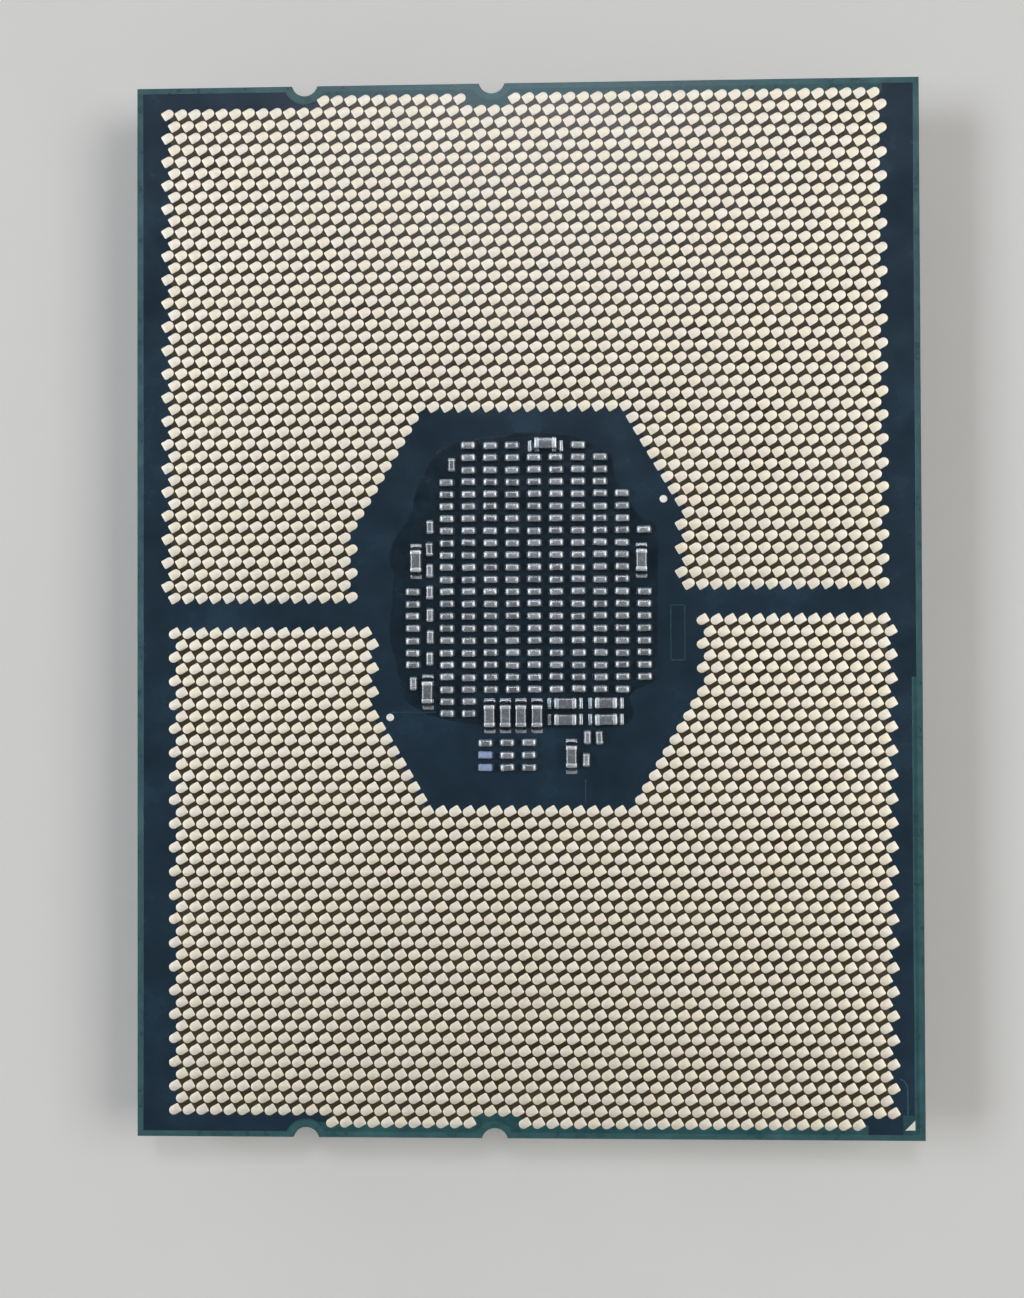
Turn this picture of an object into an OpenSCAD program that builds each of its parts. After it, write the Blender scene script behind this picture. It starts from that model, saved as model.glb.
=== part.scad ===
// Server processor package, lying on its lid with the contact side up.
// Sizes are in millimetres, X runs across the short side and Y along the long side.

/* [Board] */
// width of the board, across the short side
board_width = 56.5; // [56:0.1:58]
// length of the board, along the long side
board_length = 76; // [76:0.1:78]
// thickness of the laminate
board_thickness = 1.9; // [1.4:0.1:2.6]
// radius of the round keying notches in the two short edges
notch_radius = 0.95; // [0.8:0.05:1]
// how far a notch reaches in from the edge
notch_depth = 0.72; // [0.5:0.02:0.78]
// place of the first notch, left of the middle
first_notch_offset = 16; // [15.8:0.1:16.4]
// place of the second notch, left of the middle
second_notch_offset = 2.4; // [2.1:0.1:2.7]

/* [Contacts] */
// distance between neighbours in a row
contact_pitch = 0.9906; // [0.985:0.0002:0.995]
// distance between rows
row_pitch = 0.8585; // [0.854:0.0005:0.86]
// rows in each half of the field, the last one is the part row at the short edge
row_count = 43; // [41:1:43]
// radius of the round side of a contact
contact_radius = 0.41; // [0.34:0.01:0.42]
// distance from the middle of a contact to its flat side
contact_flat = 0.34; // [0.3:0.01:0.34]
// direction of the axis of the contacts
contact_angle = 30; // [0:5:60]
// height of the plated contacts above the board
contact_height = 0.03; // [0.02:0.01:0.06]

/* [Marks] */
// side of the triangle that marks the first corner
corner_mark_side = 0.68; // [0.4:0.02:0.8]
// distance from the triangle to the board's edges
corner_mark_inset = 0.75; // [0.5:0.05:0.9]
// diameter of the two alignment dots
dot_diameter = 0.54; // [0.4:0.02:0.7]
// place of the dots across the board, from the middle
dot_offset_x = 9.86; // [9.6:0.02:9.9]
// place of the dots along the board, from the middle
dot_offset_y = 7.82; // [7.6:0.02:7.9]
// height of the marks and dots above the board
mark_height = 0.02; // [0.01:0.01:0.05]

/* [Small capacitors] */
// length over both ends
small_length = 1; // [0.9:0.02:1.06]
// width of a small capacitor
small_width = 0.5; // [0.4:0.02:0.54]
// height above its pads
small_height = 0.5; // [0.3:0.02:0.6]
// length of each metal end
small_end = 0.23; // [0.15:0.01:0.3]
// how far a pad reaches out past the end
small_pad_reach = 0.05; // [0.03:0.01:0.12]
// how far a pad reaches in under the capacitor
small_pad_under = 0.24; // [0.15:0.01:0.3]
// distance between the columns of the main field
column_pitch = 1.575; // [1.54:0.005:1.58]
// distance between the rows of the main field
capacitor_row_pitch = 0.877; // [0.87:0.001:0.88]
// distance between the capacitors that stand along the left column
side_pitch = 1.58; // [1.5:0.01:1.6]
// first column of the main field from the board's middle, in column pitches
field_column = -3.635; // [-3.66:0.005:-3.61]
// middle row of the main field from the board's middle, in row pitches
field_row = 0.376; // [0.35:0.002:0.4]

/* [Large capacitors] */
// length over both ends
large_length = 1.6; // [1.5:0.02:1.7]
// width of a large capacitor
large_width = 0.8; // [0.7:0.02:0.84]
// height above its pads
large_height = 0.75; // [0.5:0.05:0.9]
// length of each metal end
large_end = 0.32; // [0.2:0.02:0.4]
// how far a pad reaches out past the end
large_pad_reach = 0.46; // [0.3:0.02:0.48]
// how far a pad reaches in under the capacitor
large_pad_under = 0.3; // [0.2:0.02:0.4]
// how far the capacitor at the top sits off the middle of its pads
shifted_capacitor_offset = 0.16; // [0:0.02:0.2]
// height of all soldered pads above the board
pad_height = 0.03; // [0.02:0.01:0.06]

/* [Lid] */
// width of the flange
lid_width = 51.4; // [50:0.1:52]
// length of the flange
lid_length = 70.4; // [69:0.1:71]
// corner radius of the flange
lid_corner = 1.6; // [0.5:0.1:2.5]
// how far the raised face stands in from the flange's sides
face_inset_x = 3.2; // [2:0.1:4.5]
// how far the raised face stands in from the flange's ends
face_inset_y = 4.2; // [2:0.1:5]
// corner radius of the raised face
face_corner = 2; // [0.5:0.1:3]
// height of the raised face above the flange
face_height = 1.2; // [0.6:0.1:1.6]
// thickness of the flange, down to the foot
flange_height = 2.4; // [2:0.1:3]
// width of the foot that is glued to the board
foot_width = 4; // [3:0.1:4.5]
// corner radius of the pocket
pocket_corner = 2.5; // [1:0.1:4]

/* [Sealant] */
// height of the glued joint
sealant_height = 0.15; // [0.1:0.01:0.2]
// how far the bead stands in from both sides of the foot
sealant_inset = 0.4; // [0.1:0.05:0.8]
// width of the vent left in the bead
vent_width = 6; // [2:0.5:10]

/* [Die] */
// width of the silicon, across the board
die_width = 21.6; // [18:0.1:24]
// length of the silicon, along the board
die_length = 32.2; // [26:0.1:36]
// thickness of the silicon
die_height = 0.8; // [0.7:0.01:0.9]
// height of the joint between silicon and board
underfill_height = 0.08; // [0.06:0.01:0.12]
// how far the underfill reaches out around the silicon
underfill_reach = 0.8; // [0.2:0.1:1.5]
// height of the thermal layer between silicon and lid
thermal_height = 0.27; // [0.15:0.01:0.4]

/* [Hidden] */

round_steps = 48;
lid_height = face_height + flange_height;
pocket_depth = thermal_height + die_height + underfill_height - sealant_height;
pocket_floor = lid_height - pocket_depth;
board_bottom = lid_height + sealant_height;
board_top = board_bottom + board_thickness;
face_width = lid_width - 2 * face_inset_x;
face_length = lid_length - 2 * face_inset_y;
pocket_width = lid_width - 2 * foot_width;
pocket_length = lid_length - 2 * foot_width;

// the contact field is two equal halves, each turned half a turn from the other
back = 1;
front = -1;
half_columns = 26;
cavity_rows = 16;
straight_rows = 7;
cavity_left = -25;
cavity_right = 23;
outer_row = 43;
outer_row_start = -29;
outer_row_gap = [-7, -3];
front_row_end = 49;

// columns are counted in half pitches from the middle of a half field
function last_column(row) = 2 * half_columns - row % 2;

function slanted(row, column) = abs(column) < 2 * cavity_rows - row;

function straight(row, column) = column > cavity_left && (row == 1 || column < cavity_right);

function in_cavity(row, column) =
  row > cavity_rows ? false : row > straight_rows ? slanted(row, column) : straight(row, column);

function in_outer_gap(column) = column >= outer_row_gap[0] && column <= outer_row_gap[1];

function in_outer_row(side, column) =
  column >= outer_row_start && !in_outer_gap(column) && (side == back || column < front_row_end);

function has_contact(side, row, column) =
  row < outer_row ? !in_cavity(row, side * column) : in_outer_row(side, column);

// places of capacitors from the board's middle, in column pitches across and row pitches along
function place(spot) = [spot[0] * column_pitch, spot[1] * capacitor_row_pitch, board_top];

// main field: column, first row and last row of each run
field_columns = [
  [0, -9, 10], [1, -9, 13], [2, -7, 13], [3, -7, 13], [4, -7, 12], [5, -7, 12],
  [6, -7, 13], [7, -7, 12], [8, -7, 9], [9, 6, 6], [9, -6, 1]
];
left_column = -5.19;
left_column_rows = [-5, 1];
block_columns = [-1.89, -0.9, 0.1];
block_rows = [-11, -12, -13];
side_column = [-4.41, 6.69];
side_column_count = 7;
single_capacitors = [[-3.4, 11.78], [-5.17, -6.13], [2.76, -10.6], [3.3, -10.6], [2.68, -12.43]];
wide_capacitors = [[1.75, -7.79], [3.61, -7.79], [1.75, -9.12], [3.61, -9.12]];
tall_capacitors = [
  [-5.05, 3.9], [5.25, 3.9], [-4.52, -6.84], [-1.7, -8.8], [-0.98, -8.8], [-0.27, -8.8],
  [0.46, -8.8], [2.03, -12.14]
];
shifted_capacitor = [0.89, 13.33];

// how far a cutter reaches past the surfaces that it cuts
cut_margin = 1;

module rounded_plate(width, length, corner, height) {
  linear_extrude(height)
    union() {
      square([width - 2 * corner, length], center = true);
      square([width, length - 2 * corner], center = true);
      for (x = [-1, 1])
        for (y = [-1, 1])
          translate([x * (width / 2 - corner), y * (length / 2 - corner)])
            circle(r = corner, $fn = round_steps);
    }
}

module contact_shape() {
  difference() {
    circle(r = contact_radius, $fn = round_steps);
    translate([-contact_flat - contact_radius, -contact_radius])
      square([contact_radius, 2 * contact_radius]);
  }
}

module contact(side, row, column) {
  x = (2 * column - side) * contact_pitch / 4;
  y = side * row * row_pitch;
  turn = side == back ? contact_angle : contact_angle + 180;
  translate([x, y, board_top])
    rotate(turn)
      linear_extrude(contact_height)
        contact_shape();
}

module contact_rows(side, first_row, last_row, first_side, last_side) {
  for (row = [first_row:last_row])
    for (column = [-last_column(row):2:last_column(row)])
      if (has_contact(side, row, column) && column * first_side >= 0 && column * last_side >= 0)
        contact(side, row, column);
}

// places of the capacitors that lie across the board, and of those that lie along it
module small_across() {
  for (c = field_columns)
    for (row = [c[1]:c[2]])
      translate(place([field_column + c[0], field_row + row]))
        children();
  for (row = [left_column_rows[0]:left_column_rows[1]])
    translate(place([left_column, field_row + row]))
      children();
  for (x = block_columns)
    translate(place([x, block_rows[0]]))
      children();
  for (x = [block_columns[1], block_columns[2]])
    for (y = [block_rows[1], block_rows[2]])
      translate(place([x, y]))
        children();
}

module small_blue() {
  for (y = [block_rows[1], block_rows[2]])
    translate(place([block_columns[0], y]))
      children();
}

module small_along() {
  for (i = [0:side_column_count - 1])
    translate(place(side_column) - [0, i * side_pitch, 0])
      rotate(90)
        children();
  for (spot = single_capacitors)
    translate(place(spot))
      rotate(90)
        children();
}

module large_all(shift) {
  for (spot = wide_capacitors)
    translate(place(spot))
      children();
  for (spot = tall_capacitors)
    translate(place(spot))
      rotate(90)
        children();
  translate(place(shifted_capacitor) + [0, shift, 0])
    children();
}

module chip_body(length, end, width, height) {
  translate([end - length / 2, -width / 2, pad_height])
    cube([length - 2 * end, width, height]);
}

module chip_ends(length, end, width, height) {
  for (x = [-length / 2, length / 2 - end])
    translate([x, -width / 2, pad_height])
      cube([end, width, height]);
}

module chip_pads(length, reach, under, width) {
  for (x = [-length / 2 - reach, length / 2 - under])
    translate([x, -width / 2, 0])
      cube([reach + under, width, pad_height]);
}

module small_pads() {
  chip_pads(small_length, small_pad_reach, small_pad_under, small_width);
}

module small_body() {
  chip_body(small_length, small_end, small_width, small_height);
}

module small_ends() {
  chip_ends(small_length, small_end, small_width, small_height);
}

module corner_triangle() {
  translate([board_width / 2 - corner_mark_inset, corner_mark_inset - board_length / 2])
    linear_extrude(mark_height)
      polygon([[0, 0], [0, corner_mark_side], [-corner_mark_side, 0]]);
}

module board() {
  color("darkslategray")
    difference() {
      translate([-board_width / 2, -board_length / 2, board_bottom])
        cube([board_width, board_length, board_thickness]);
      for (x = [-first_notch_offset, -second_notch_offset])
        for (y = [-1, 1])
          translate([x, y * (board_length / 2 + notch_radius - notch_depth), board_bottom - cut_margin])
            cylinder(r = notch_radius, h = board_thickness + 2 * cut_margin, $fn = round_steps);
    }
}

module back_contacts() {
  color("wheat")
    contact_rows(back, cavity_rows + 1, row_count, 0, 0);
}

module back_left_contacts() {
  color("wheat")
    contact_rows(back, 1, cavity_rows, -1, -1);
}

module back_right_contacts() {
  color("wheat")
    contact_rows(back, 1, cavity_rows, 1, 1);
}

module front_contacts() {
  color("wheat")
    contact_rows(front, cavity_rows + 1, row_count, 0, 0);
}

module front_left_contacts() {
  color("wheat")
    contact_rows(front, 1, cavity_rows, -1, -1);
}

module front_right_contacts() {
  color("wheat")
    contact_rows(front, 1, cavity_rows, 1, 1);
}

module corner_marks() {
  color("gold") {
    translate([0, 0, board_top])
      corner_triangle();
    translate([0, 0, board_bottom - mark_height])
      corner_triangle();
  }
}

module alignment_dots() {
  color("gold")
    for (side = [-1, 1])
      translate([side * dot_offset_x, side * dot_offset_y, board_top])
        cylinder(d = dot_diameter, h = mark_height, $fn = round_steps);
}

module small_capacitor_pads() {
  color("silver") {
    small_across()
      small_pads();
    small_blue()
      small_pads();
    small_along()
      small_pads();
  }
}

module small_capacitor_bodies() {
  color("rosybrown") {
    small_across()
      small_body();
    small_along()
      small_body();
  }
}

module small_capacitor_ends() {
  color("gainsboro") {
    small_across()
      small_ends();
    small_blue()
      small_ends();
    small_along()
      small_ends();
  }
}

module blue_capacitor_bodies() {
  color("lightsteelblue")
    small_blue()
      small_body();
}

module large_capacitor_pads() {
  color("silver")
    large_all(0)
      chip_pads(large_length, large_pad_reach, large_pad_under, large_width);
}

module large_capacitor_bodies() {
  color("rosybrown")
    large_all(shifted_capacitor_offset)
      chip_body(large_length, large_end, large_width, large_height);
}

module large_capacitor_ends() {
  color("gainsboro")
    large_all(shifted_capacitor_offset)
      chip_ends(large_length, large_end, large_width, large_height);
}

module lid() {
  color("lightgray")
    difference() {
      union() {
        rounded_plate(face_width, face_length, face_corner, face_height);
        translate([0, 0, face_height])
          rounded_plate(lid_width, lid_length, lid_corner, flange_height);
      }
      translate([0, 0, pocket_floor])
        rounded_plate(pocket_width, pocket_length, pocket_corner, pocket_depth + cut_margin);
    }
}

module sealant() {
  color("dimgray")
    translate([0, 0, lid_height])
      difference() {
        rounded_plate(
          lid_width - 2 * sealant_inset, lid_length - 2 * sealant_inset, lid_corner, sealant_height
        );
        translate([0, 0, -cut_margin])
          rounded_plate(
            pocket_width + 2 * sealant_inset, pocket_length + 2 * sealant_inset, pocket_corner,
            sealant_height + 2 * cut_margin
          );
        translate([-vent_width / 2, 0, -cut_margin])
          cube([vent_width, lid_length, sealant_height + 2 * cut_margin]);
      }
}

module thermal_layer() {
  color("lightslategray")
    translate([-die_width / 2, -die_length / 2, pocket_floor])
      cube([die_width, die_length, thermal_height]);
}

module die() {
  color("slategray")
    translate([-die_width / 2, -die_length / 2, pocket_floor + thermal_height])
      cube([die_width, die_length, die_height]);
}

module underfill() {
  color("black")
    translate([
      -die_width / 2 - underfill_reach, -die_length / 2 - underfill_reach, board_bottom - underfill_height
    ])
      cube([die_width + 2 * underfill_reach, die_length + 2 * underfill_reach, underfill_height]);
}

board();
back_contacts();
back_left_contacts();
back_right_contacts();
front_contacts();
front_left_contacts();
front_right_contacts();
corner_marks();
alignment_dots();
small_capacitor_pads();
small_capacitor_bodies();
small_capacitor_ends();
blue_capacitor_bodies();
large_capacitor_pads();
large_capacitor_bodies();
large_capacitor_ends();
lid();
sealant();
thermal_layer();
die();
underfill();
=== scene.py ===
from math import acos, asin, cos, degrees, radians, sin

import bmesh
import bpy
import numpy as np
from mathutils import Matrix, Vector


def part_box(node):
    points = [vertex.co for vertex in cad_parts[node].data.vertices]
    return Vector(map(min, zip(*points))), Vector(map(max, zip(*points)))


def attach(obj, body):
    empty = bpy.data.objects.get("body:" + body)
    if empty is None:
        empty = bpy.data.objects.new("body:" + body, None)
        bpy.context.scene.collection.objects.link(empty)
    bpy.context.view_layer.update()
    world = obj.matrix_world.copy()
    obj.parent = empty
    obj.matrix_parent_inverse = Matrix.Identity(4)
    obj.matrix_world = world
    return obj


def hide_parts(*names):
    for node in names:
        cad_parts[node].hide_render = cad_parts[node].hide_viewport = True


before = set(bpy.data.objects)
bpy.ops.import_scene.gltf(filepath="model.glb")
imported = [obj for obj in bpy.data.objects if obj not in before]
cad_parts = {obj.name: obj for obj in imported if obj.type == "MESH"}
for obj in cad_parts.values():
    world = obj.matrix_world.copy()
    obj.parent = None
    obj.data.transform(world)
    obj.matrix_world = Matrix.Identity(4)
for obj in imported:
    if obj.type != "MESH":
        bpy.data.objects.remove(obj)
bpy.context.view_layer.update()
body = "root"
mm = 0.001  # the frame is in metres, the values below are in millimetres
seed = np.random.default_rng(11)


# sRGB hex to linear
def linear(hexColour):
    channels = [int(hexColour[i:i + 2], 16) / 255 for i in (1, 3, 5)]
    return tuple(c / 12.92 if c <= 0.04045 else ((c + 0.055) / 1.055) ** 2.4 for c in channels) + (1.0,)


# adds a node: inputs are values or sockets to link, stops the colours of a ramp, settings its properties
def addNode(tree, kind, inputs=(), stops=(), **settings):
    node = tree.nodes.new(kind)
    for name, value in settings.items():
        setattr(node, name, value)
    for number, (place, colour) in enumerate(stops):
        elements = node.color_ramp.elements
        element = elements[number] if number < 2 else elements.new(place)  # a new ramp has two
        element.position = place
        element.color = linear(colour)
    for key, value in dict(inputs).items():
        if isinstance(value, bpy.types.NodeSocket):
            tree.links.new(value, node.inputs[key])
        else:
            node.inputs[key].default_value = value
    return node


def startMaterial(name, **values):
    material = bpy.data.materials.new(name)
    material.use_nodes = True
    tree = material.node_tree
    shader = tree.nodes["Principled BSDF"]
    for key, value in values.items():
        shader.inputs[key.replace("_", " ")].default_value = value
    return material, tree, shader


# noise scale that gives patches of about this many millimetres
def noiseScale(size):
    return 1 / (size * mm)


# the noise in every mottled finish, and the band of it over which the roughness changes
mottle = {"detail": 3.0, "roughness": 0.6, "low": 0.3, "high": 0.7, "grainDetail": 2.0, "bumpStrength": 0.6}


# colour between stops in patches, roughness in a band, and a bump of fine grain
# patch, grain and bump are in millimetres, shades multiply the colour from one separate piece to the next
def mottled(name, stops, patch, grain, rough, bump, shades=(), **values):
    material, tree, shader = startMaterial(name, **values)
    place = addNode(tree, "ShaderNodeTexCoord").outputs["Object"]
    patches = addNode(tree, "ShaderNodeTexNoise", {
        "Vector": place, "Scale": noiseScale(patch), "Detail": mottle["detail"],
        "Roughness": mottle["roughness"]})
    colour = addNode(tree, "ShaderNodeValToRGB", {"Fac": patches.outputs["Fac"]}, stops).outputs["Color"]
    if shades:
        island = addNode(tree, "ShaderNodeNewGeometry").outputs["Random Per Island"]
        shade = addNode(tree, "ShaderNodeValToRGB", {"Fac": island}, shades)
        mixed = addNode(tree, "ShaderNodeMix", {0: 1.0, 6: colour, 7: shade.outputs["Color"]},
                        data_type="RGBA", blend_type="MULTIPLY")
        colour = mixed.outputs[2]
    grains = addNode(tree, "ShaderNodeTexNoise", {
        "Vector": place, "Scale": noiseScale(grain), "Detail": mottle["grainDetail"]})
    gloss = addNode(tree, "ShaderNodeMapRange", {
        "Value": patches.outputs["Fac"], "From Min": mottle["low"], "From Max": mottle["high"],
        "To Min": rough[0], "To Max": rough[1]})
    relief = addNode(tree, "ShaderNodeBump", {
        "Height": grains.outputs["Fac"], "Distance": bump * mm, "Strength": mottle["bumpStrength"]})
    tree.links.new(colour, shader.inputs["Base Color"])
    tree.links.new(gloss.outputs["Result"], shader.inputs["Roughness"])
    tree.links.new(relief.outputs["Normal"], shader.inputs["Normal"])
    return material


# solder mask printed over a copper plane: deep navy teal, half gloss, a little orange peel
maskOverCopper = mottled(
    "solder mask over copper", [(0.3, "#142631"), (0.52, "#182B38"), (0.72, "#1C3241")],
    patch=4.0, grain=0.09, rough=(0.2, 0.3), bump=0.003, IOR=1.5, Specular_IOR_Level=0.4)

# the same mask over bare laminate: light shows through it, so the rim is a paler green
maskOverLaminate = mottled(
    "solder mask over laminate", [(0.3, "#2A4A4D"), (0.55, "#335759"), (0.75, "#3E6665")],
    patch=1.6, grain=0.12, rough=(0.25, 0.35), bump=0.003, IOR=1.5, Specular_IOR_Level=0.4)

# mask over laminate with copper further down: a darker green between rim and contacts
maskOverInnerCopper = mottled(
    "solder mask over inner copper", [(0.3, "#1F4042"), (0.55, "#254B4D"), (0.75, "#2C5659")],
    patch=1.6, grain=0.12, rough=(0.25, 0.35), bump=0.003, IOR=1.5, Specular_IOR_Level=0.4)

# mask among the contacts: thin over copper, it takes a brown cast from the gold
maskAmongContacts = mottled(
    "thin solder mask among gold", [(0.3, "#2F2614"), (0.55, "#382E19"), (0.75, "#41361E")],
    patch=3.0, grain=0.09, rough=(0.25, 0.35), bump=0.003, IOR=1.5, Specular_IOR_Level=0.5)

# mask over a lone copper line: a shade paler than over the plane
maskOverLine = mottled(
    "solder mask over a line", [(0.3, "#263E46"), (0.55, "#2C464E"), (0.75, "#345057")],
    patch=1.0, grain=0.09, rough=(0.2, 0.3), bump=0.003, IOR=1.5, Specular_IOR_Level=0.4)

# dried flux left from soldering: darker and wetter than the mask under it
fluxFilm = mottled(
    "dried flux film", [(0.3, "#0C1C25"), (0.55, "#10222D"), (0.75, "#152936")],
    patch=1.4, grain=0.15, rough=(0.16, 0.3), bump=0.004, IOR=1.5, Specular_IOR_Level=0.4)

# fired barium titanate: grey with a little sheen, its long edges tumbled smooth, no two chips quite alike
chipCeramic = mottled(
    "tumbled chip ceramic", [(0.3, "#64686D"), (0.55, "#71757A"), (0.75, "#7F8388")],
    patch=0.4, grain=0.05, rough=(0.2, 0.32), bump=0.003, IOR=2.3,
    shades=[(0.0, "#C6C5C5"), (0.35, "#E3E4E4"), (0.7, "#F1EFEE"), (1.0, "#FFFFFF")])

# the ceramic of the small chips: paler, as painted light for the broad highlight on their bodies, and they
# differ more
smallCeramicPaintedLight = mottled(
    "small chip ceramic paled as painted light", [(0.3, "#7D8186"), (0.55, "#8D9196"), (0.75, "#9DA1A6")],
    patch=0.3, grain=0.05, rough=(0.2, 0.32), bump=0.003, IOR=2.3,
    shades=[(0.0, "#9A979B"), (0.35, "#D2D5D2"), (0.7, "#EEE9EB"), (1.0, "#FFFFFF")])

# blue coat that covers two of the chips whole, greyer in places
blueCoat = mottled(
    "blue coat on ceramic", [(0.3, "#7F8AA5"), (0.55, "#8693B4"), (0.75, "#929EC1")],
    patch=0.9, grain=0.05, rough=(0.3, 0.42), bump=0.003, IOR=1.6)

# plated tin on the large chips' ends: white metal with a soft grain
tinPlating = mottled(
    "tin plating", [(0.3, "#D2D5D7"), (0.55, "#DDE0E1"), (0.75, "#E8EAEB")],
    patch=0.25, grain=0.04, rough=(0.38, 0.5), bump=0.003, Metallic=1.0,
    shades=[(0.0, "#DADCDF"), (0.5, "#F0F1F3"), (1.0, "#FFFFFF")])

# the small chips are plated in a barrel, which leaves their tin duller
barrelTin = mottled(
    "barrel-plated tin", [(0.3, "#C8CBCD"), (0.55, "#D3D6D7"), (0.75, "#DDDFE0")],
    patch=0.25, grain=0.04, rough=(0.4, 0.52), bump=0.003, Metallic=1.0,
    shades=[(0.0, "#D6D8DB"), (0.5, "#EEEFF1"), (1.0, "#FFFFFF")])

# reflowed solder: lumpy and half bright where it wets the pads
solder = mottled(
    "reflowed solder", [(0.3, "#A4A7AB"), (0.55, "#BABDC1"), (0.75, "#CED0D4")],
    patch=0.2, grain=0.1, rough=(0.34, 0.5), bump=0.014, Metallic=1.0)

# the same solder darkened as painted shade for the hollow against the chip, with a wet coat
paintedShadeSolder = mottled(
    "solder darkened as painted shade", [(0.3, "#434C53"), (0.55, "#505A61"), (0.75, "#5E686F")],
    patch=0.2, grain=0.1, rough=(0.34, 0.5), bump=0.01, Metallic=1.0, Coat_Weight=0.5, Coat_Roughness=0.2)

# hard gold over nickel, plated satin: pale and warm, each contact a shade of its own
contactGold = mottled(
    "satin contact gold", [(0.3, "#F5EAD6"), (0.5, "#F8EEDC"), (0.7, "#FBF3E4")],
    patch=0.2, grain=0.05, rough=(0.5, 0.58), bump=0.002, Metallic=1.0,
    shades=[(0.0, "#FAFBF6"), (0.25, "#FFFCF5"), (0.5, "#FFFFFF"), (0.75, "#FAFAFA"), (1.0, "#FFFAF9")])

# flash gold over nickel on the marks: paler than solid gold
markGold = mottled(
    "flash gold", [(0.3, "#F0E8DA"), (0.55, "#F6F0E5"), (0.75, "#FAF6EE")],
    patch=0.5, grain=0.05, rough=(0.5, 0.58), bump=0.003, Metallic=1.0)

# satin nickel plated on a coined copper lid: warm grey, lapped fine, faintly cloudy
satinNickel = mottled(
    "satin nickel plating", [(0.28, "#B5B0A7"), (0.5, "#BEB9B0"), (0.74, "#C6C1B9")],
    patch=9.0, grain=0.12, rough=(0.3, 0.35), bump=0.004, Metallic=1.0)

# cured silicone that glues the lid: dull dark grey
silicone = mottled(
    "cured silicone", [(0.3, "#242526"), (0.55, "#2E2F30"), (0.75, "#393A3B")],
    patch=1.0, grain=0.1, rough=(0.5, 0.7), bump=0.01, IOR=1.41)

# pressed indium between silicon and lid: soft white metal, sealed inside like the next two
indium = mottled(
    "indium layer", [(0.3, "#B4B6BA"), (0.6, "#C9CBCE")],
    patch=1.5, grain=0.1, rough=(0.3, 0.45), bump=0.004, Metallic=1.0)

# ground silicon: dark grey with a hard gloss
groundSilicon = mottled(
    "ground silicon", [(0.3, "#4B4E55"), (0.6, "#62656D")],
    patch=2.5, grain=0.05, rough=(0.22, 0.34), bump=0.002, IOR=3.5)

# cured epoxy that flowed under the silicon: near black and glossy
epoxy = mottled(
    "cured epoxy", [(0.3, "#15171B"), (0.6, "#20232A")],
    patch=1.2, grain=0.1, rough=(0.2, 0.35), bump=0.005, IOR=1.55)

# layers of the sawn board from its lower side to its upper one, and the glass fibres that fleck them
boardLayers = {"stops": [(0.0, "#1F3A3A"), (0.02, "#2F4A45"), (0.1, "#3F5A50"), (0.2, "#52655A"),
                         (0.22, "#717F68"), (0.5, "#7F8B73"), (0.78, "#717F68"), (0.8, "#52655A"),
                         (0.9, "#3F5A50"), (0.98, "#2F4A45"), (1.0, "#1F3A3A")],
               "roughness": 0.55, "fibre": 0.5, "fibreDetail": 4.0, "flatten": 9.0, "fleck": (0.65, 1.3),
               "bump": 0.02, "bumpStrength": 0.7}


# sawn glass-epoxy board: dark mask lines outside, build-up layers, then the paler woven core
def sawnBoard(low, high):
    material, tree, shader = startMaterial("sawn glass epoxy", IOR=1.52, Roughness=boardLayers["roughness"])
    place = addNode(tree, "ShaderNodeTexCoord").outputs["Object"]
    height = addNode(tree, "ShaderNodeSeparateXYZ", {"Vector": place}).outputs["Z"]
    share = addNode(tree, "ShaderNodeMapRange", {"Value": height, "From Min": low, "From Max": high})
    layers = addNode(tree, "ShaderNodeValToRGB", {"Fac": share.outputs["Result"]}, boardLayers["stops"])
    stretch = addNode(tree, "ShaderNodeMapping", {
        "Vector": place, "Scale": (1.0, 1.0, boardLayers["flatten"])})
    fibre = addNode(tree, "ShaderNodeTexNoise", {
        "Vector": stretch.outputs["Vector"], "Scale": noiseScale(boardLayers["fibre"]),
        "Detail": boardLayers["fibreDetail"]})
    fleck = addNode(tree, "ShaderNodeMapRange", {
        "Value": fibre.outputs["Fac"], "To Min": boardLayers["fleck"][0], "To Max": boardLayers["fleck"][1]})
    mixed = addNode(tree, "ShaderNodeMix", {0: 1.0, 6: layers.outputs["Color"], 7: fleck.outputs["Result"]},
                    data_type="RGBA", blend_type="MULTIPLY")
    relief = addNode(tree, "ShaderNodeBump", {
        "Height": fibre.outputs["Fac"], "Distance": boardLayers["bump"] * mm,
        "Strength": boardLayers["bumpStrength"]})
    tree.links.new(mixed.outputs[2], shader.inputs["Base Color"])
    tree.links.new(relief.outputs["Normal"], shader.inputs["Normal"])
    return material


print("materials made")


# makes a mesh from points in millimetres, rides it on the part and gives it its finish
# smooth is the angle in degrees up to which edges are shaded soft
def makePiece(name, points, faces, finishes, faceFinish=None, slot=None, replaced=(), smooth=None):
    mesh = bpy.data.meshes.new(name)
    mesh.from_pydata((np.asarray(points) * mm).tolist(), [], [list(f) for f in faces])
    for finish in finishes:
        mesh.materials.append(finish)
    if faceFinish is not None:
        mesh.polygons.foreach_set("material_index", faceFinish)
    if smooth is not None:
        mesh.shade_smooth()
        mesh.set_sharp_from_angle(angle=radians(smooth))
    mesh.validate()
    piece = bpy.data.objects.new(name, mesh)
    bpy.context.collection.objects.link(piece)
    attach(piece, body)
    if replaced:
        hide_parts(*replaced)


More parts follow.
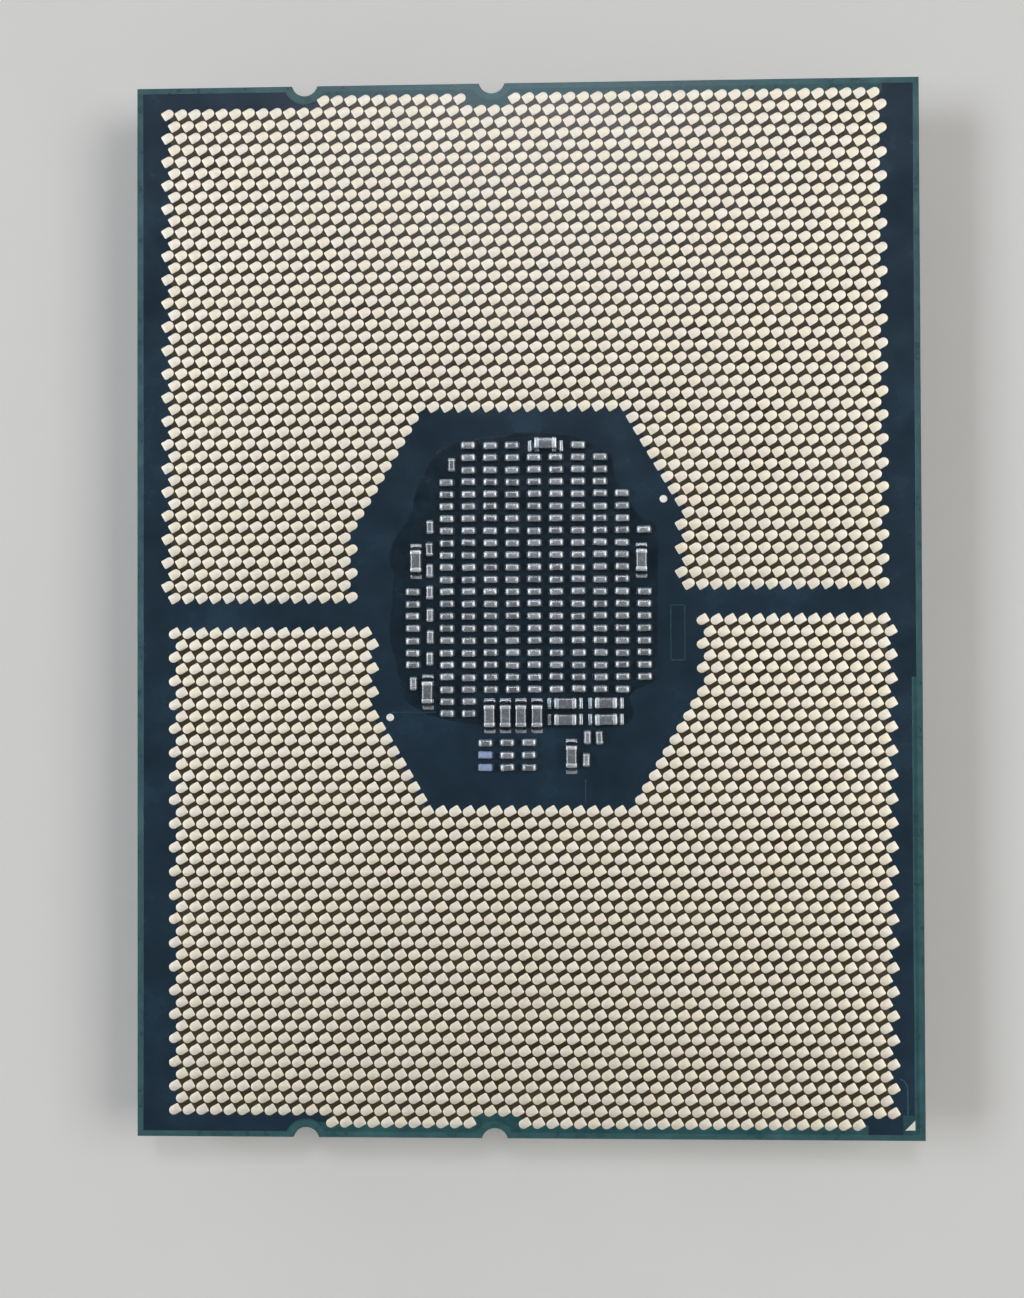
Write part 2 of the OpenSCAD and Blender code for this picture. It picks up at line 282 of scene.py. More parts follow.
# joins rings of equal count into walls, with a face on the first ring, and on the last where asked
def stackRings(rings, lastFace=True):
    count = len(rings[0])
    points = [point for ring in rings for point in ring]
    faces = []
    for level in range(len(rings) - 1):
        low, high = level * count, (level + 1) * count
        for i in range(count):
            j = (i + 1) % count
            faces.append((low + i, low + j, high + j, high + i))
    faces.append(tuple(range(count))[::-1])
    if lastFace:
        faces.append(tuple((len(rings) - 1) * count + i for i in range(count)))
    return points, faces


# gives a sheet a thickness: a lower copy turned over, and walls along its open edges
def thicken(points, faces, depth):
    count = len(points)
    sides = {side for face in faces for side in zip(face, face[1:] + face[:1])}
    walls = [(b, a, a + count, b + count) for a, b in sorted(sides) if (b, a) not in sides]
    below = [(x, y, z - depth) for x, y, z in points]
    return points + below, faces + [tuple(i + count for i in face[::-1]) for face in faces] + walls


def lift(outline, height):
    return [(x, y, height) for x, y in outline]


# moves each point of a closed outline inwards by a distance, along the mean of its two edges' normals
def inset(outline, distance):
    sharpest = 0.4  # keeps a sharp corner from running far in
    ring = np.asarray(outline, float)
    ahead = np.roll(ring, -1, 0) - ring
    behind = ring - np.roll(ring, 1, 0)
    normals = []
    for edge in (ahead, behind):
        normals.append(np.c_[-edge[:, 1], edge[:, 0]] / np.linalg.norm(edge, axis=1)[:, None])
    middle = normals[0] + normals[1]
    reach = np.maximum((middle * normals[0]).sum(1), sharpest)
    return (ring + distance * middle / reach[:, None]).tolist()


def arc(centre, radius, start, end, steps):
    turns = np.linspace(radians(start), radians(end), steps)
    return [(centre[0] + radius * cos(a), centre[1] + radius * sin(a)) for a in turns]


def roundedRectangle(width, length, corner, steps=7):
    outline = []
    for quarter, (x, y) in enumerate(((1, 1), (-1, 1), (-1, -1), (1, -1))):
        centre = (x * (width / 2 - corner), y * (length / 2 - corner))
        outline += arc(centre, corner, 90 * quarter, 90 * quarter + 90, steps)
    return outline


# copies a small mesh to many places, each a 4x4 matrix in millimetres
def placeCopies(points, faces, places):
    points = np.asarray(points, float)
    allPoints, allFaces = [], []
    for number, place in enumerate(places):
        allPoints.append(points @ np.array(place.to_3x3()).T + np.array(place.translation))
        allFaces += [[i + number * len(points) for i in face] for face in faces]
    return np.concatenate(allPoints), allFaces


def joinMeshes(parts):
    points, faces, start = [], [], 0
    for somePoints, someFaces in parts:
        points.append(np.asarray(somePoints, float))
        faces += [[i + start for i in face] for face in someFaces]
        start += len(somePoints)
    return np.concatenate(points), faces


# lowest and highest corner of every separate solid of a CAD node, in millimetres
def solidsOf(node):
    weld = 0.0005 * mm
    work = bmesh.new()
    work.from_mesh(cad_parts[node].data)
    bmesh.ops.remove_doubles(work, verts=work.verts, dist=weld)
    work.verts.ensure_lookup_table()
    seen, boxes = set(), []
    for first in work.verts:
        if first.index in seen:
            continue
        seen.add(first.index)
        island, todo = [], [first]
        while todo:
            vert = todo.pop()
            island.append(vert.co[:])
            for edge in vert.link_edges:
                other = edge.other_vert(vert)
                if other.index not in seen:
                    seen.add(other.index)
                    todo.append(other)
        corners = np.array(island) / mm
        boxes.append((corners.min(0), corners.max(0)))
    work.free()
    return boxes


boardLow, boardHigh = (np.array(c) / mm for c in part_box("board"))
boardTop, boardBottom = boardHigh[2], boardLow[2]
boardWidth, boardLength = (boardHigh - boardLow)[:2]

# half-round notches in both short edges
notches = {"radius": 0.95, "depth": 0.72, "places": (-16.0, -2.4), "steps": 15}
notchY = boardLength / 2 + notches["radius"] - notches["depth"]


# board outline, moved in from the edge and out from the notches
def boardOutline(edgeInset, notchGrowth):
    right, back = boardWidth / 2 - edgeInset, boardLength / 2 - edgeInset
    radius = notches["radius"] + notchGrowth
    spread = degrees(acos((notchY - back) / radius))
    outline = [(-right, -back)]
    for x in notches["places"]:
        outline += arc((x, -notchY), radius, 90 + spread, 90 - spread, notches["steps"])
    outline += [(right, -back), (right, back)]
    for x in reversed(notches["places"]):
        outline += arc((x, notchY), radius, 270 + spread, 270 - spread, notches["steps"])
    return outline + [(-right, back)]


# rim of bare laminate along edges and notches, then the copper plane under the mask, a little raised
boardEdge = {"bevel": 0.05, "rim": 0.42, "notchRim": 0.5,
             "planeInset": 0.42, "planeNotch": 0.62, "planeHeight": 0.012, "planeSlope": 0.03}

# on the contact side the plane ends under the outer contacts of both short edges
# and short of the marked corner
planeCuts = {"outerRow": 36.92, "nextRow": 36.06, "frontGap": (-4.2, -0.25), "backGap": (-4.7, -0.74),
             "frontEnd": 24.2, "backEnd": 25.6, "corner": (26.7, -36.2), "line": (27.5, -5.0)}


# one short edge of that plane from left to right, drawn at the back
def cutEdge(gap, rowEnd):
    back = boardLength / 2 - boardEdge["planeInset"]
    radius = notches["radius"] + boardEdge["planeNotch"]
    outer, inner = planeCuts["outerRow"], planeCuts["nextRow"]
    start, end = (degrees(asin((notchY - y) / radius)) for y in (back, outer))
    line = [(boardEdge["planeInset"] - boardWidth / 2, back)]
    line += arc((notches["places"][0], notchY), radius, 180 + start, 360 - end, notches["steps"])
    line += [(gap[0], outer), (gap[0], inner), (gap[1], inner), (gap[1], outer)]
    return line + [(rowEnd, outer), (rowEnd, back)]


def contactPlane():
    right, back = boardWidth / 2 - boardEdge["planeInset"], boardLength / 2 - boardEdge["planeInset"]
    (cornerX, cornerY), (lineX, lineTop) = planeCuts["corner"], planeCuts["line"]
    outline = [(x, -y) for x, y in cutEdge(planeCuts["frontGap"], planeCuts["frontEnd"])]
    outline += [(cornerX, -back), (cornerX, cornerY), (lineX, cornerY), (lineX, lineTop)]
    outline += [(right, lineTop), (right, back)]
    return outline + cutEdge(planeCuts["backGap"], planeCuts["backEnd"])[::-1]


def makeBoard():
    bevel, rim = boardEdge["bevel"], boardOutline(boardEdge["rim"], boardEdge["notchRim"])
    edge, wall = boardOutline(bevel, bevel), boardOutline(0, 0)
    rings = [lift(rim, boardBottom), lift(edge, boardBottom), lift(wall, boardBottom + bevel),
             lift(wall, boardTop - bevel), lift(edge, boardTop), lift(rim, boardTop)]
    count = len(wall)
    finishes = [sawnBoard(boardBottom * mm, boardTop * mm), maskOverLaminate, maskOverInnerCopper]
    # lower rim, wall with its bevels, upper rim, both faces
    faceFinish = [1] * count + [0] * 3 * count + [1] * count + [2, 2]
    makePiece("boardLaminate", *stackRings(rings), finishes, faceFinish, slot="board", replaced=["board"])

    plane = boardOutline(boardEdge["planeInset"], boardEdge["planeNotch"])
    for name, outline, side, level in (("contactSideMask", contactPlane(), 1, boardTop),
                                       ("lidSideMask", plane, -1, boardBottom)):
        high = level + side * boardEdge["planeHeight"]
        rings = [lift(outline, level), lift(inset(outline, boardEdge["planeSlope"]), high)]
        makePiece(name, *stackRings(rings[::side]), [maskOverCopper], slot="board")


makeBoard()
print("board made")

# contact outline along its axis: a flat end with eased corners, and a round end
# rings give shares of its height and of its eased edge, turnSpread is in degrees
contactShape = {"width": 0.658, "flat": 0.402, "round": 0.445, "roundSteps": 11, "corner": 0.085,
                "cornerSteps": 3, "angle": 30.0, "turnSpread": 0.6, "edge": 0.03,
                "rings": ((0.0, 0.0), (0.45, 0.0), (0.82, 0.35), (1.0, 1.0)), "smooth": 40}


def contactOutline():
    half, corner, steps = contactShape["width"] / 2, contactShape["corner"], contactShape["cornerSteps"]
    left = -contactShape["flat"]
    outline = arc((contactShape["round"] - half, 0), half, -90, 90, contactShape["roundSteps"])
    outline += arc((left + corner, half - corner), corner, 90, 180, steps)
    return outline + arc((left + corner, corner - half), corner, 180, 270, steps)


# the front half lies turned round against the back one
def makeContacts():
    outline, edge, centres = contactOutline(), contactShape["edge"], []
    for half, turn in (("back", 0.0), ("front", 180.0)):
        for part in ("", "left_", "right_"):
            node = half + "_" + part + "contacts"
            low, high = (np.array(c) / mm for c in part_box(node))
            rise = high[2] - low[2]
            rings = [lift(inset(outline, edge * ease), rise * share)
                     for share, ease in contactShape["rings"]]
            places = []
            for corner, far in solidsOf(node):
                radius = (far[1] - corner[1]) / 2  # the round side is whole along Y and on one side along X
                x = far[0] - radius if half == "back" else corner[0] + radius
                y = corner[1] + radius
                angle = radians(contactShape["angle"] + turn + seed.normal(0, contactShape["turnSpread"]))
                places.append(Matrix.Translation((x, y, low[2])) @ Matrix.Rotation(angle, 4, "Z"))
                centres.append((x, y))
            makePiece(node + "Gold", *placeCopies(*stackRings(rings), places), [contactGold],
                      slot="contact_gold", replaced=[node], smooth=contactShape["smooth"])
            print(node, len(places), "contacts")
    return centres


# thin mask among the contacts: one sheet through their centres, so its rim hides under the outer ones
contactField = {"pitch": 0.9906, "rowPitch": 0.8585, "height": 0.016, "depth": 0.01}


def makeContactField(centres):
    pitch, rowPitch = contactField["pitch"], contactField["rowPitch"]
    spots = {}  # numbered in quarter pitches along X, because the rows and the halves are shifted
    for number, (x, y) in enumerate(centres):
        spots[(round(4 * x / pitch), round(y / rowPitch))] = number
    faces = []
    for (i, j), number in spots.items():
        right, ahead, left = (i + 4, j), (i + 2, j + 1), (i - 2, j + 1)
        if right in spots and ahead in spots:
            faces.append((number, spots[right], spots[ahead]))
        if ahead in spots and left in spots:
            faces.append((number, spots[ahead], spots[left]))
    sheet = thicken(lift(centres, boardTop + contactField["height"]), faces, contactField["depth"])
    makePiece("contactFieldMask", *sheet, [maskAmongContacts], slot="board")


makeContactField(makeContacts())

# dried flux round the capacitors: points of its edge, read off the photograph
fluxShape = {"height": 0.017, "rim": 0.12, "steps": 5, "waver": 0.03, "edge": (
    (9.4, 5.5), (9.4, 0), (9.35, -4), (9.1, -5.3), (7.5, -6.1), (7.2, -8.3), (1.5, -8.6), (-3.5, -8.4),
    (-6.5, -7.8), (-7.6, -7.4), (-8.8, -6.4), (-9.4, -4), (-9.9, -2), (-9.75, 0), (-9.6, 2.2), (-9.9, 3.8),
    (-9.4, 5.2), (-8.4, 6.7), (-7.9, 8.6), (-6.9, 10.6), (-6.2, 11.5), (-4.5, 12.1), (-2, 12.5),
    (0.7, 12.75), (3, 12.5), (4.6, 11.9), (6, 11.25), (6.4, 9.5), (7, 8.3), (8, 6.7))}


# closed curve through the points, with steps points to each span
def smoothLoop(points, steps):
    ring = np.asarray(points, float)
    before, after, beyond = np.roll(ring, 1, 0), np.roll(ring, -1, 0), np.roll(ring, -2, 0)
    curve = []
    for i in range(len(ring)):
        for share in np.arange(steps) / steps:
            curve.append(0.5 * (2 * ring[i] + (after[i] - before[i]) * share
                                + (2 * before[i] - 5 * ring[i] + 4 * after[i] - beyond[i]) * share ** 2
                                + (3 * ring[i] - before[i] - 3 * after[i] + beyond[i]) * share ** 3))
    return curve


def makeFluxFilm():
    edge = smoothLoop(fluxShape["edge"], fluxShape["steps"])[::-1]
    edge = [tuple(point + seed.normal(0, fluxShape["waver"], 2)) for point in edge]
    low = boardTop + boardEdge["planeHeight"]
    rings = [lift(edge, low), lift(inset(edge, fluxShape["rim"]), boardTop + fluxShape["height"])]
    makePiece("driedFlux", *stackRings(rings), [fluxFilm], slot="board")


makeFluxFilm()

# copper lines that show through the mask as fine ridges, and bare lines between copper
# both are paths on the contact side
ridges = {"width": 0.09, "height": 0.018, "ease": 0.015, "copper": (
    ((-9.75, -7.45), (-6.5, -7.45)), ((4.2, -12.3), (4.2, -14.0)),
    ((10.35, 0.2), (11.35, 0.2), (11.35, -3.75), (10.35, -3.75), (10.35, 0.2))), "bare": (
    ((27.56, -37.4), (27.56, -21.5)), ((27.53, -21.35), (27.53, -5.0)), ((27.47, -21.3), (27.62, -21.3)),
    ((26.45, -33.6), (26.75, -33.75), (26.95, -34.1), (27.0, -34.5), (27.0, -36.3)))}


def ribbon(path, width):
    line = np.asarray(path, float)
    way = np.gradient(line, axis=0)
    side = np.c_[-way[:, 1], way[:, 0]] / np.linalg.norm(way, axis=1)[:, None]
    left, right = line + side * width / 2, line - side * width / 2
    return [tuple(p) for p in right] + [tuple(p) for p in left[::-1]]


def makeRidges():
    high = boardTop + ridges["height"]
    for name, paths, finish in (("copperRidges", ridges["copper"], maskOverLine),
                                ("bareLines", ridges["bare"], maskOverLaminate)):
        parts = []
        for path in paths:
            spans = [path]
            if path[0] == path[-1]:  # a closed path has sharp corners, so each side is a line of its own
                spans = [path[i:i + 2] for i in range(len(path) - 1)]
            for span in spans:
                outline = ribbon(span, ridges["width"])
                rings = [lift(outline, boardTop), lift(inset(outline, ridges["ease"]), high)]
                parts.append(stackRings(rings))
        makePiece(name, *joinMeshes(parts), [finish], slot="board")


makeRidges()
print("flux and lines made")

# plated marks with eased edges, on the contact side and the lid side
markShape = {"proud": 0.01, "edge": 0.03, "shoulder": 0.6, "sides": 24}


def raisedMark(outline, base, top):
    shoulder = base + (top - base) * markShape["shoulder"]
    rings = [lift(outline, base), lift(outline, shoulder), lift(inset(outline, markShape["edge"]), top)]
    points, faces = stackRings(rings)
    return points, faces if top > base else [face[::-1] for face in faces]


def makeMarks():
    proud, sides = markShape["proud"], markShape["sides"]
    dots, triangles = [], []
    for low, high in solidsOf("alignment_dots"):
        outline = arc((low + high) / 2, (high[0] - low[0]) / 2, 0, 360 - 360 / sides, sides)
        dots.append(raisedMark(outline, low[2], high[2] + proud))
    makePiece("alignmentDots", *joinMeshes(dots), [markGold], slot="gold", replaced=["alignment_dots"])
    for low, high in solidsOf("corner_marks"):
        outline = [(low[0], low[1]), (high[0], low[1]), (high[0], high[1])]
        above = low[2] > boardBottom
        base, top = (low[2], high[2] + proud) if above else (high[2], low[2] - proud)
        triangles.append(raisedMark(outline, base, top))
    makePiece("cornerMarks", *joinMeshes(triangles), [markGold], slot="gold", replaced=["corner_marks"])


makeMarks()
print("marks made")


def nearestTwo(centre, boxes):
    middles = np.array([(low + high) / 2 for low, high in boxes])
    order = np.argsort(np.linalg.norm(middles[:, :2] - centre[:2], axis=1))[:2]
    return [boxes[i] for i in order]


# reads each capacitor's body with its two nearest ends and pads, and the axis that it lies along
def readChips(bodyNode, endNode, padNode):
    ends, pads, chips = solidsOf(endNode), solidsOf(padNode), []
    for low, high in solidsOf(bodyNode):
        centre = (low + high) / 2
        nearEnds, nearPads = nearestTwo(centre, ends), nearestTwo(centre, pads)
        middles = [(a + b) / 2 for a, b in nearEnds]
        axis = 0 if abs(middles[0][0] - middles[1][0]) > abs(middles[0][1] - middles[1][1]) else 1
        chips.append({
            "centre": centre, "axis": axis, "low": low[2], "height": high[2] - low[2],
            "bodyLength": (high - low)[axis], "width": (high - low)[1 - axis],
            "length": max(b[axis] for a, b in nearEnds) - min(a[axis] for a, b in nearEnds),
            "padLength": max(b[axis] for a, b in nearPads) - min(a[axis] for a, b in nearPads),
            "padMiddle": sum((a + b) / 2 for a, b in nearPads) / 2, "padLow": nearPads[0][0][2]})
    return chips


# bar along X with rounded section, standing on Z = 0: each section is a place along X and how far it shrinks
# across is the share of that which its width takes part in
def roundedBar(sections, width, height, corner, across=1.0):
    sharpest, steps = 0.01, 5
    rings = []
    for x, shrink in sections:
        outline = roundedRectangle(width - 2 * shrink * across, height - 2 * shrink,
                                   max(corner - shrink, sharpest), steps)
        rings.append([(x, y, height / 2 + z) for y, z in outline])
    return stackRings(rings)


# pads under the chips: ease is the share of their height that the upper edges lose
padShape = {"corner": 0.04, "steps": 3, "ease": 0.5}


def padPlate(length, width, height):
    outline = roundedRectangle(length, width, padShape["corner"], padShape["steps"])
    ease = height * padShape["ease"]
    return stackRings([lift(outline, 0), lift(outline, height - ease), lift(inset(outline, ease), height)])


# solder that climbs from a pad's outer edge to the chip's end
# bow is how far its rows run out in the middle, thin the share of its half width over which it thins out,
# tuck how far it runs under the chip, margin how much narrower than the pad it is
slopeShape = {"rows": 6, "columns": 10, "bow": 0.14, "bowPower": 4, "thin": 0.3, "thinPower": 0.6,
              "tuck": 0.02, "margin": 0.01}


def solderSlope(reach, width, rise, padHeight, hollow):
    rows, columns = slopeShape["rows"], slopeShape["columns"]
    points = []
    for row in np.linspace(0, 1, rows + 1):
        for y in np.linspace(-1, 1, columns + 1):
            x = row + slopeShape["bow"] * sin(radians(180 * row)) * (1 - y ** slopeShape["bowPower"])
            share = min((1 - abs(y)) / slopeShape["thin"], 1.0) ** slopeShape["thinPower"]
            points.append((x * reach, y * width / 2, padHeight + rise * share * (1 - x) ** hollow))
    count = columns + 1
    faces = [(i * count + j, (i + 1) * count + j, (i + 1) * count + j + 1, i * count + j + 1)
             for i in range(rows) for j in range(columns)]
    back, front = list(range(count)), [rows * count + j for j in range(count)]
    left = [i * count for i in range(rows + 1)]
    right = [i * count + columns for i in range(rows + 1)]
    return points, faces + [back, right + front[-2::-1] + left[-2::-1]]


# plating is how far the ends stand proud of the ceramic, widen how far each side passes the nominal width,
# slope the part of the pad that solder climbs from, climb the part of the chip's height that it reaches,
# next the rows of the slope that take the solder darkened as painted shade, and 1 where the pad takes it
# too, then turn and tilt in degrees
chipShape = {
    "small": {"corner": 0.16, "endCorner": 0.18, "plating": 0.014, "widen": 0.02, "padSide": -0.03,
              "slope": 1.0, "climb": 0.45, "hollow": 2.2, "lumps": 0.004, "paintedShadeRows": 6, "paintedShadePad": 1,
              "slip": 0.012, "turn": 1.2, "tilt": 2.6},
    "large": {"corner": 0.13, "endCorner": 0.12, "plating": 0.018, "widen": 0.0, "padSide": 0.0,
              "slope": 0.9, "climb": 0.55, "hollow": 2.8, "lumps": 0.012, "paintedShadeRows": 3, "paintedShadePad": 0,
              "slip": 0.01, "turn": 0.5, "tilt": 0.8}}

# what both sizes share: how deep the ceramic sits in its ends, the lip of the plating in shares of its
# thickness along and down, the turns of the rounded end, the share of its rounding that shows from above,
# and the share of the roll that a chip pitches
chipEnds = {"tuck": 0.05, "lip": ((0.0, 1.0), (0.6, 0.2), (1.5, 0.0)), "turns": (0, 30, 60, 90),
            "across": 0.5, "pitchShare": 0.5, "smooth": 50}


# body, end, pad and slope of a chip, each along X, and how long the pad is
def chipMeshes(values, chip):
    height, plating, endCorner = chip["height"], values["plating"], values["endCorner"]
    inner, outer = chip["bodyLength"] / 2, chip["length"] / 2
    padWidth, width = chip["width"] + 2 * values["padSide"], chip["width"] + 2 * values["widen"]
    bodyEnd = inner + chipEnds["tuck"]
    sections = [(-bodyEnd, plating), (bodyEnd, plating)]
    bodyMesh = roundedBar(sections, width, height, values["corner"] + plating)
    sections = [(inner + plating * along, plating * down) for along, down in chipEnds["lip"]]
    for a in [radians(turn) for turn in chipEnds["turns"]]:
        sections.append((outer - endCorner * (1 - sin(a)), endCorner * (1 - cos(a))))
    endMesh = roundedBar(sections, width, height, endCorner, chipEnds["across"])
    padHeight = chip["low"] - chip["padLow"]
    reach = (chip["padLength"] - chip["length"]) / 2
    padLength = reach + outer - inner
    padMesh = padPlate(padLength, padWidth, padHeight)
    slopeMesh = solderSlope(reach * values["slope"] + slopeShape["tuck"], padWidth - slopeShape["margin"],
                            height * values["climb"], padHeight, values["hollow"])
    return bodyMesh, endMesh, padMesh, slopeMesh, padLength


# all chips of one kind: each slips, turns and tilts a little on its pads, and its solder is lumpy
def makeChips(size, chips):
    values, first = chipShape[size], chips[0]
    bodyMesh, endMesh, padMesh, slopeMesh, padLength = chipMeshes(values, first)
    slopePlace = first["length"] / 2 - slopeShape["tuck"]
    bodies, ends, pads, slopes = [], [], [], []
    for chip in chips:
        slip = seed.normal(0, values["slip"], 2)
        turn = radians(90 * chip["axis"] + seed.normal(0, values["turn"]))
        roll, pitch = seed.normal(0, radians(values["tilt"]), 2) * (1.0, chipEnds["pitchShare"])
        at = Matrix.Translation((chip["centre"][0] + slip[0], chip["centre"][1] + slip[1], chip["low"]))
        for angle, axis in ((turn, "Z"), (roll, "X"), (pitch, "Y")):
            at = at @ Matrix.Rotation(angle, 4, axis)
        padAt = Matrix.Translation((chip["padMiddle"][0], chip["padMiddle"][1], chip["padLow"]))
        padAt = padAt @ Matrix.Rotation(radians(90 * chip["axis"]), 4, "Z")
        bodies.append(at)
        for way in (0.0, 180.0):
            spin = Matrix.Rotation(radians(way), 4, "Z")
            ends.append(at @ spin)
            pads.append(padAt @ spin @ Matrix.Translation(((chip["padLength"] - padLength) / 2, 0, 0)))
            slopes.append(padAt @ spin @ Matrix.Translation((slopePlace, 0, 0)))
    slopePoints, slopeFaces = placeCopies(*slopeMesh, slopes)
    raised = slopePoints[:, 2] > first["low"] + values["lumps"]
    slopePoints[raised, 2] += seed.normal(0, values["lumps"] / 2, raised.sum())
    padPoints, padFaces = placeCopies(*padMesh, pads)
    # the first rows of each slope, and the pads where asked, take the solder darkened as painted shade
    paintedShadeFaces = values["paintedShadeRows"] * slopeShape["columns"]  # the first faces of each slope
    slopeFinish = [int(i < paintedShadeFaces) for i in range(len(slopeMesh[1]))]
    padFinish = [values["paintedShadePad"]] * len(padFaces) + slopeFinish * len(slopes)
    return (placeCopies(*bodyMesh, bodies), placeCopies(*endMesh, ends), (padPoints, padFaces),
            (slopePoints, slopeFaces), padFinish)


def makeCapacitors():
    smooth = chipEnds["smooth"]
    for size, endFinish, kinds in (
            ("small", barrelTin, (("small_capacitor_bodies", smallCeramicPaintedLight, "ceramic"),
                                  ("blue_capacitor_bodies", blueCoat, "blue_ceramic"))),
            ("large", tinPlating, (("large_capacitor_bodies", chipCeramic, "ceramic"),))):
        endNode, padNode = size + "_capacitor_ends", size + "_capacitor_pads"
        endParts, padParts, padFinish = [], [], []
        for bodyNode, finish, slot in kinds:
            chips = readChips(bodyNode, endNode, padNode)
            bodies, ends, pads, slopes, faceFinish = makeChips(size, chips)
            makePiece(bodyNode + "Ceramic", *bodies, [finish], slot=slot, replaced=[bodyNode], smooth=smooth)
            if slot == "blue_ceramic":  # the coat covers the ends of these too
                makePiece("blueCapacitorEnds", *ends, [blueCoat], slot="tin", smooth=smooth)
            else:
                endParts.append(ends)
            padParts += [pads, slopes]
            padFinish += faceFinish
            print(bodyNode, len(chips), "chips")
        makePiece(endNode + "Tin", *joinMeshes(endParts), [endFinish],
                  slot="tin", replaced=[endNode], smooth=smooth)
        # the second solder finish is the one darkened as painted shade
        makePiece(padNode + "Solder", *joinMeshes(padParts), [solder, paintedShadeSolder], padFinish,
                  slot="solder", replaced=[padNode], smooth=smooth)


makeCapacitors()

# lid: a raised face with rounded rim, a fillet down to the flange, and the pocket that covers the silicon
lidShape = {"faceInset": (3.2, 4.2), "faceCorner": 2.0, "faceHeight": 1.2, "faceRim": 0.3, "fillet": 0.25,
            "corner": 1.6, "rim": 0.25, "foot": 4.0, "footRim": 0.1, "pocketCorner": 2.5, "pocketDepth": 1.0,
            "turns": (0, 22.5, 45, 67.5, 90), "smooth": 40}


def makeLid():
    low, high = (np.array(c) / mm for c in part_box("lid"))
    width, length, height = high - low
    values = lidShape

    def ring(grow, level, wide=width, long=length, corner=values["corner"]):
        outline = roundedRectangle(wide + 2 * grow, long + 2 * grow, corner + grow)
        return lift(outline, low[2] + level)

    insetX, insetY = values["faceInset"]
    face = (width - 2 * insetX, length - 2 * insetY, values["faceCorner"])
    turns = [radians(a) for a in values["turns"]]
    rim, fillet, edge, foot = values["faceRim"], values["fillet"], values["rim"], values["footRim"]
    step = values["faceHeight"]
    rings = [ring(-rim * (1 - sin(a)), rim * (1 - cos(a)), *face) for a in turns]
    rings += [ring(fillet * (1 - cos(a)), step - fillet * (1 - sin(a)), *face) for a in turns]
    rings += [ring(-edge * (1 - sin(a)), step + edge * (1 - cos(a))) for a in turns]
    rings += [ring(-foot * (1 - cos(a)), height - foot * (1 - sin(a))) for a in turns]
    pocket = (width - 2 * values["foot"], length - 2 * values["foot"], values["pocketCorner"])
    rings += [ring(0, height, *pocket), ring(0, height - values["pocketDepth"], *pocket)]
    makePiece("lidNickel", *stackRings(rings), [satinNickel],
              slot="lid", replaced=["lid"], smooth=values["smooth"])


makeLid()
print("lid made")

# sealant and the sealed inner pieces keep their CAD form
innerFinishes = {"sealant": silicone, "thermal_layer": indium, "die": groundSilicon, "underfill": epoxy}


def finishInnerPieces():
    for node, finish in innerFinishes.items():
        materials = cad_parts[node].data.materials
        materials.clear()
        materials.append(finish)


finishInnerPieces()
print("inner pieces finished")

# floor under the part, a sweep that rises far off into a wall all round
floorShape = {"flat": 1100, "bend": 700, "wall": 500, "sides": 64, "steps": 8}

# matt studio paper: pale warm grey, all but even
floorPaper = mottled("pale floor", [(0.3, "#D2CDC7"), (0.7, "#D6D1CB")],
                     patch=40.0, grain=2.0, rough=(0.6, 0.7), bump=0.02)


def makeFloor():
    flat, bend, sides = floorShape["flat"], floorShape["bend"], floorShape["sides"]
    turns = np.radians(np.linspace(0, 90, floorShape["steps"]))
    profile = [(flat + bend * sin(a), bend * (1 - cos(a))) for a in turns]
    profile.append((flat + bend, bend + floorShape["wall"]))
    rings = [lift(arc((0, 0), radius, 0, 360 - 360 / sides, sides), level) for radius, level in profile]
    points, faces = stackRings(rings, lastFace=False)
    mesh = bpy.data.meshes.new("floor")
    mesh.from_pydata((np.array(points) * mm).tolist(), [], [face[::-1] for face in faces])
    mesh.materials.append(floorPaper)
    mesh.shade_smooth()
    floor = bpy.data.objects.new("floor", mesh)
    bpy.context.collection.objects.link(floor)


makeFloor()
print("floor made")

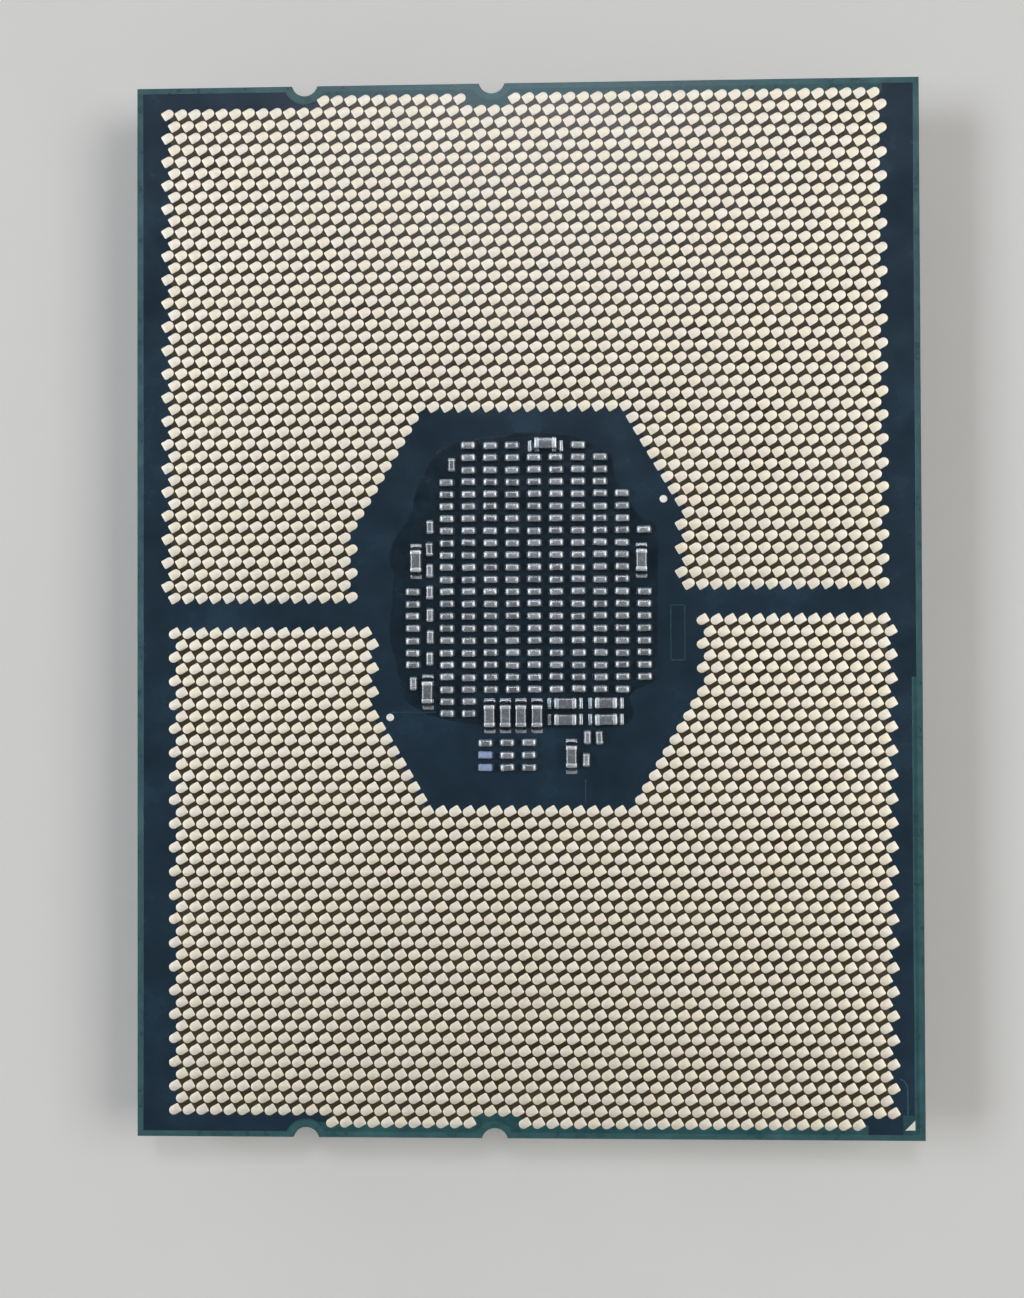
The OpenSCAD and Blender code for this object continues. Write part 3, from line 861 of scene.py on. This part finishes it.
# camera fitted to the contact lattice in the photograph
# place, sensor and near limit in mm, turn in degrees, focal length and width of the image in pixels
cameraFit = {"place": (3.71, -4.78, 132.17), "turn": (0.834, 2.160, -0.191), "focal": 1760.0,
             "imageWidth": 1024, "sensor": 36.0, "near": 5.0}


def makeCamera():
    data = bpy.data.cameras.new("camera")
    data.sensor_fit = "HORIZONTAL"
    data.sensor_width = cameraFit["sensor"]
    data.lens = cameraFit["sensor"] * cameraFit["focal"] / cameraFit["imageWidth"]
    data.clip_start = cameraFit["near"] * mm
    camera = bpy.data.objects.new("camera", data)
    camera.location = [v * mm for v in cameraFit["place"]]
    camera.rotation_euler = [radians(v) for v in cameraFit["turn"]]
    bpy.context.collection.objects.link(camera)
    bpy.context.scene.camera = camera


# soft studio light: place, aim and size in mm, power in watts
softLights = {
    "key": {"place": (-250, 2300, 1200), "aim": (0, 0, 0),
            "size": 420, "power": 48.5, "colour": "#FFFFFF"},
    "fill": {"place": (1750, 220, 1750), "aim": (0, 0, 0),
             "size": 1500, "power": 33.0, "colour": "#FAFFFF"},
    "side": {"place": (-1950, 220, 1300), "aim": (0, 0, 0),
             "size": 1400, "power": 56.0, "colour": "#EAF5FF"},
    "window": {"place": (-15, 300, 600), "aim": (0, 36, 6),
               "size": 110, "power": 0.65, "colour": "#E9EEFF"}}
softSky = {"colour": "#F7F9FF", "strength": 0.19}


def makeLights():
    for name, values in softLights.items():
        data = bpy.data.lights.new(name, "AREA")
        data.size = values["size"] * mm
        data.energy = values["power"]
        data.color = linear(values["colour"])[:3]
        light = bpy.data.objects.new(name, data)
        light.location = Vector(values["place"]) * mm
        way = (Vector(values["aim"]) - Vector(values["place"])).normalized()
        light.rotation_euler = way.to_track_quat("-Z", "Y").to_euler()
        bpy.context.collection.objects.link(light)
    world = bpy.data.worlds.new("studio")
    world.use_nodes = True
    sky = world.node_tree.nodes["Background"]
    sky.inputs["Color"].default_value = linear(softSky["colour"])
    sky.inputs["Strength"].default_value = softSky["strength"]
    bpy.context.scene.world = world
    bpy.context.scene.view_settings.view_transform = "Standard"


makeCamera()
makeLights()
print("camera and lights made")
